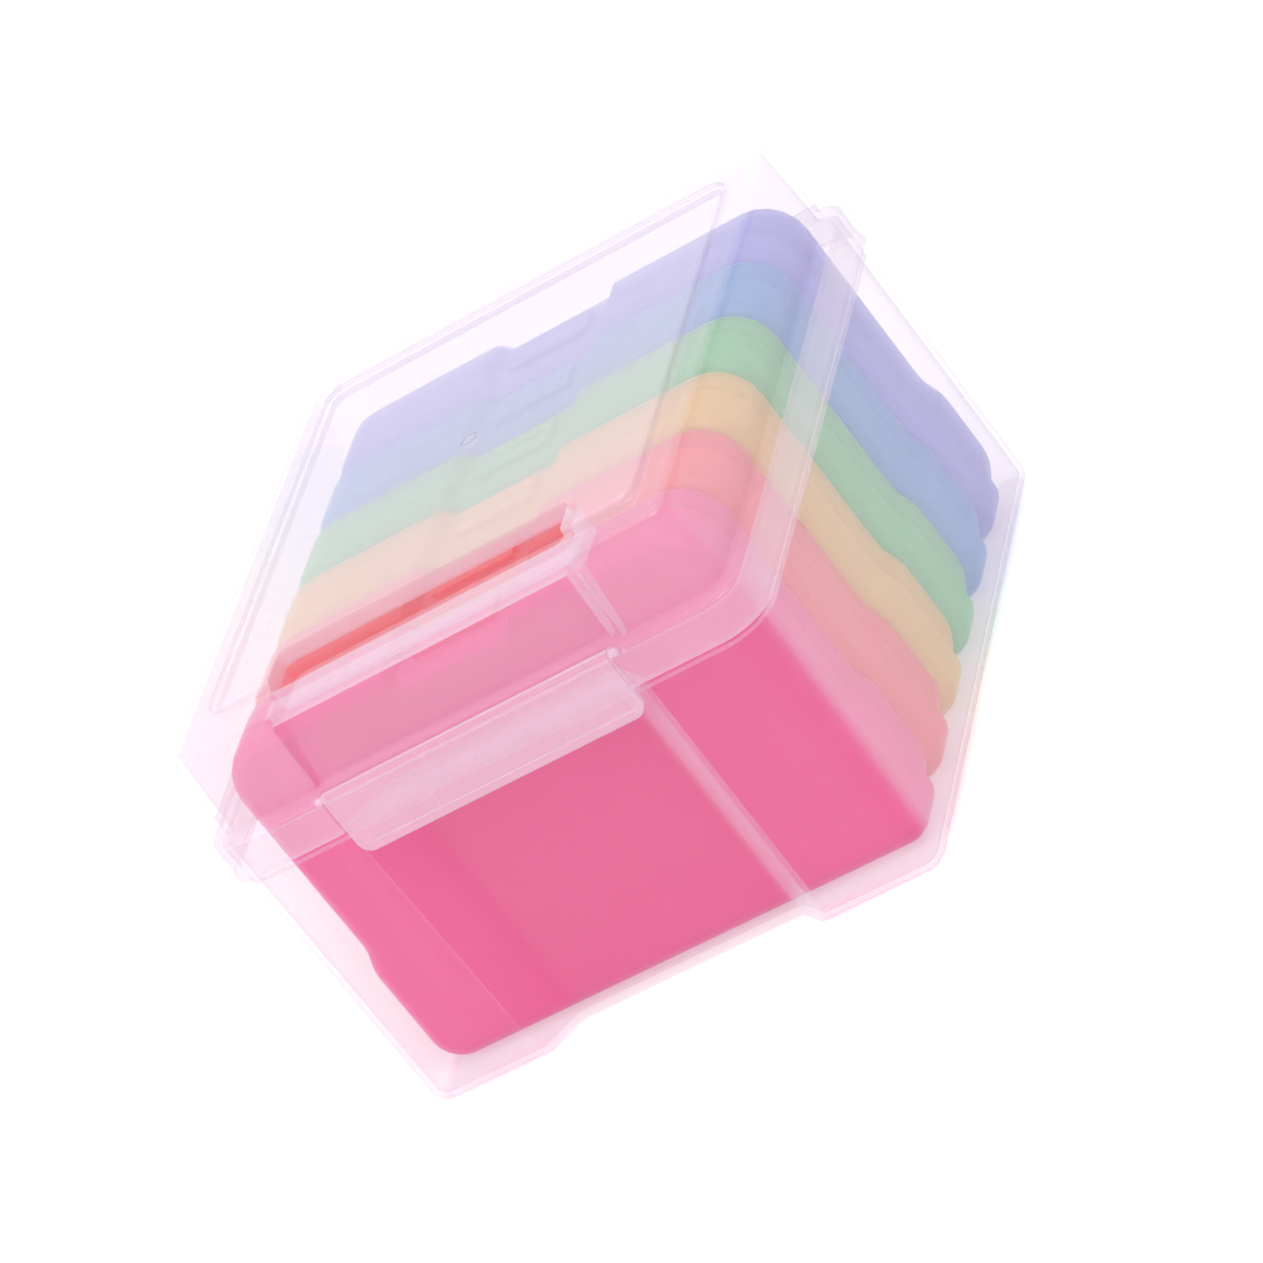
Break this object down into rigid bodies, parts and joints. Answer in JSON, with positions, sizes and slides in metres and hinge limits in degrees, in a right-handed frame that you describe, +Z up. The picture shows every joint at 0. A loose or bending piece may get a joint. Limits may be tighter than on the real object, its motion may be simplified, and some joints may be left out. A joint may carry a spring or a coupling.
{
  "type": "photo keeper case",
  "caption": "Clear hinged box with a front latch that keeps coloured clamshell cases for photo prints on edge.",
  "frame": {"origin": "centre of the base's flat underside", "axes": "+Z up, front with the latch at -Y, hinge at +Y, +X to the right seen from the front"},
  "size_m": [0.1768, 0.2088, 0.128],
  "materials": {
    "clear_plastic": "gloss",
    "clear_lid_plastic": "gloss",
    "pink_plastic": "satin",
    "coral_plastic": "satin",
    "amber_plastic": "satin",
    "green_plastic": "satin",
    "blue_plastic": "satin",
    "violet_plastic": "satin"
  },
  "bodies": {
    "base": {"outer_base": "clear_plastic"},
    "lid": {"outer_lid": "clear_lid_plastic"},
    "latch": {"front_latch": "clear_plastic"},
    "pink_case": {"pink_case_tray": "pink_plastic", "pink_case_lid": "pink_plastic"},
    "coral_case": {"coral_case_tray": "coral_plastic", "coral_case_lid": "coral_plastic"},
    "amber_case": {"amber_case_tray": "amber_plastic", "amber_case_lid": "amber_plastic"},
    "green_case": {"green_case_tray": "green_plastic", "green_case_lid": "green_plastic"},
    "blue_case": {"blue_case_tray": "blue_plastic", "blue_case_lid": "blue_plastic"},
    "violet_case": {"violet_case_tray": "violet_plastic", "violet_case_lid": "violet_plastic"}
  },
  "joints": [
    {"name": "lid_hinge", "type": "hinge", "parent": "base", "child": "lid", "pos_m": [0, 0.10421, 0.086], "axis": [-1, 0, 0], "range_deg": [0, 180]},
    {"name": "latch_hinge", "type": "hinge", "parent": "lid", "child": "latch", "pos_m": [0, -0.09938, 0.0988], "axis": [-1, 0, 0], "range_deg": [0, 180]},
    {"name": "pink_case_lift", "type": "slide", "parent": "base", "child": "pink_case", "axis": [0, 0, 1], "range_m": [0, 0.0028]},
    {"name": "coral_case_lift", "type": "slide", "parent": "base", "child": "coral_case", "axis": [0, 0, 1], "range_m": [0, 0.0093]},
    {"name": "amber_case_lift", "type": "slide", "parent": "base", "child": "amber_case", "axis": [0, 0, 1], "range_m": [0, 0.0093]},
    {"name": "green_case_lift", "type": "slide", "parent": "base", "child": "green_case", "axis": [0, 0, 1], "range_m": [0, 0.0093]},
    {"name": "blue_case_lift", "type": "slide", "parent": "base", "child": "blue_case", "axis": [0, 0, 1], "range_m": [0, 0.0093]},
    {"name": "violet_case_lift", "type": "slide", "parent": "base", "child": "violet_case", "axis": [0, 0, 1], "range_m": [0, 0.0093]}
  ]
}
